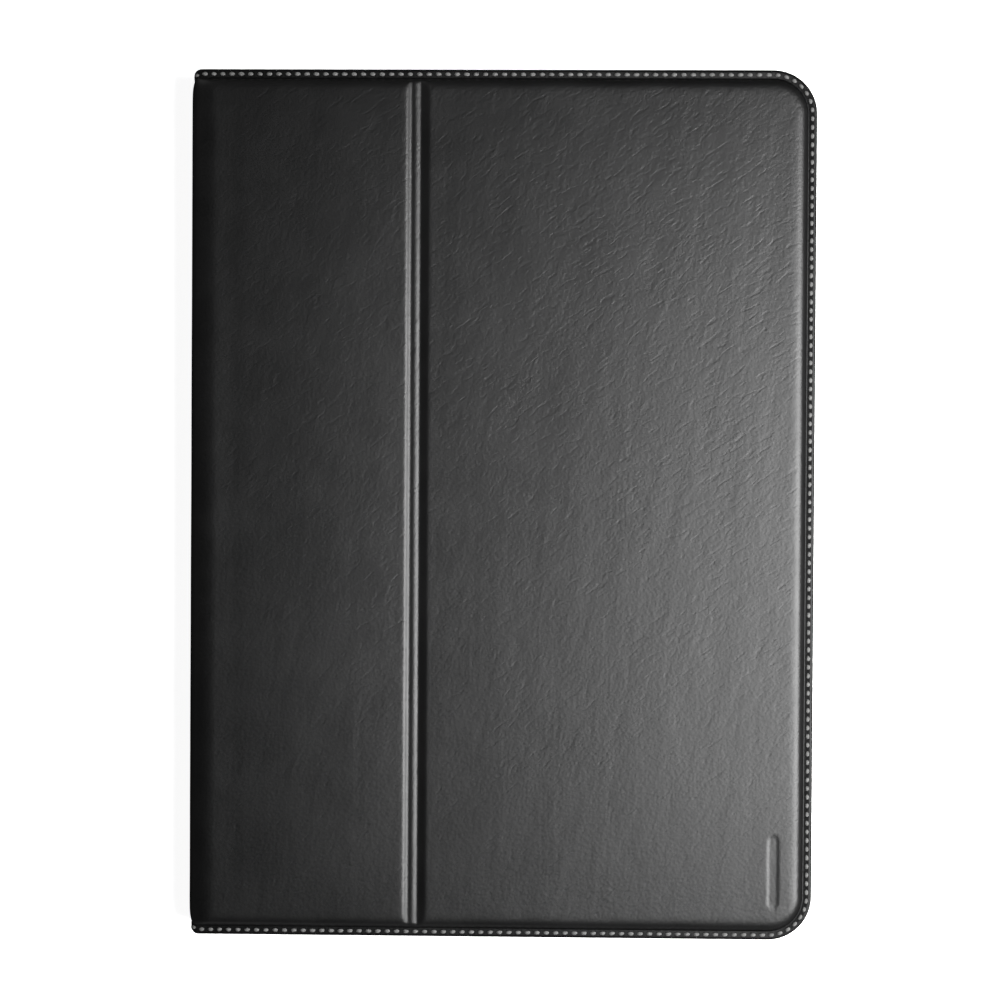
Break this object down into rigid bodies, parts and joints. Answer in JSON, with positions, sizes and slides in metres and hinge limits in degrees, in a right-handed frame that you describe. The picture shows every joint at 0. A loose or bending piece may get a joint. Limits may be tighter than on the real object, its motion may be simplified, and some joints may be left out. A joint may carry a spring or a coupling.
{
  "type": "tablet folio case",
  "caption": "Leather folio case for a tablet: padded covers with a sewn edge and a fold line, a moulded tray inside, and a tuck flap on the back.",
  "frame": {"origin": "middle of the closed case on the surface it lies on, at the outer face of the back cover", "axes": "+X from the spine to the free edge, +Y up the long side towards the camera opening, +Z out of the front cover"},
  "size_m": [0.1784, 0.248, 0.0184],
  "materials": {
    "leather": "black pebbled leather, soft sheen",
    "lining": "short-nap microfibre, matt",
    "foam": "closed-cell foam sheet, matt",
    "board": "pressed grey-brown board",
    "thread": "light grey twisted thread",
    "moulding": "fine-textured black polycarbonate",
    "adhesive": "foam tape",
    "magnet": "nickel-plated magnet"
  },
  "bodies": {
    "back_cover": {"back_skin": "leather", "back_padding": "foam", "back_board": "board", "back_lining": "lining", "back_seam": "thread", "tray_bond_pad_1": "adhesive", "tray_bond_pad_2": "adhesive", "tray_bond_pad_3": "adhesive", "tray_bond_pad_4": "adhesive", "tablet_tray": "moulding", "tray_pad": "lining", "tuck_flap_hem": "leather"},
    "tuck_flap": {"tuck_flap_skin": "leather", "tuck_flap_stiffener": "board", "tuck_flap_lining": "lining"},
    "spine": {"spine_skin": "leather", "spine_board": "board", "spine_lining": "lining", "spine_seam_top": "thread", "spine_seam_bottom": "thread"},
    "hinge_panel": {"hinge_panel_skin": "leather", "hinge_panel_padding": "foam", "hinge_panel_board": "board", "hinge_panel_lining": "lining", "hinge_panel_seam_top": "thread", "hinge_panel_seam_bottom": "thread"},
    "front_panel": {"front_panel_skin": "leather", "front_panel_padding": "foam", "front_panel_board": "board", "front_panel_lining": "lining", "front_panel_seam": "thread", "closure_magnet_1": "magnet", "closure_magnet_2": "magnet", "closure_magnet_3": "magnet", "wake_magnet": "magnet"}
  },
  "joints": [
    {"name": "spine_fold", "type": "hinge", "parent": "back_cover", "child": "spine", "pos_m": [-0.0886, 0, 0.0004], "axis": [0, -1, 0], "range_deg": [0, 146]},
    {"name": "cover_fold", "type": "hinge", "parent": "spine", "child": "hinge_panel", "pos_m": [-0.0886, 0, 0.018], "axis": [0, -1, 0], "range_deg": [0, 146]},
    {"name": "crease_fold", "type": "hinge", "parent": "hinge_panel", "child": "front_panel", "pos_m": [-0.0226, 0, 0.016], "axis": [0, -1, 0], "range_deg": [0, 110]},
    {"name": "tuck_flap_fold", "type": "hinge", "parent": "back_cover", "child": "tuck_flap", "pos_m": [0.027, 0, 0.0003], "axis": [0, -1, 0], "range_deg": [0, 25]}
  ]
}
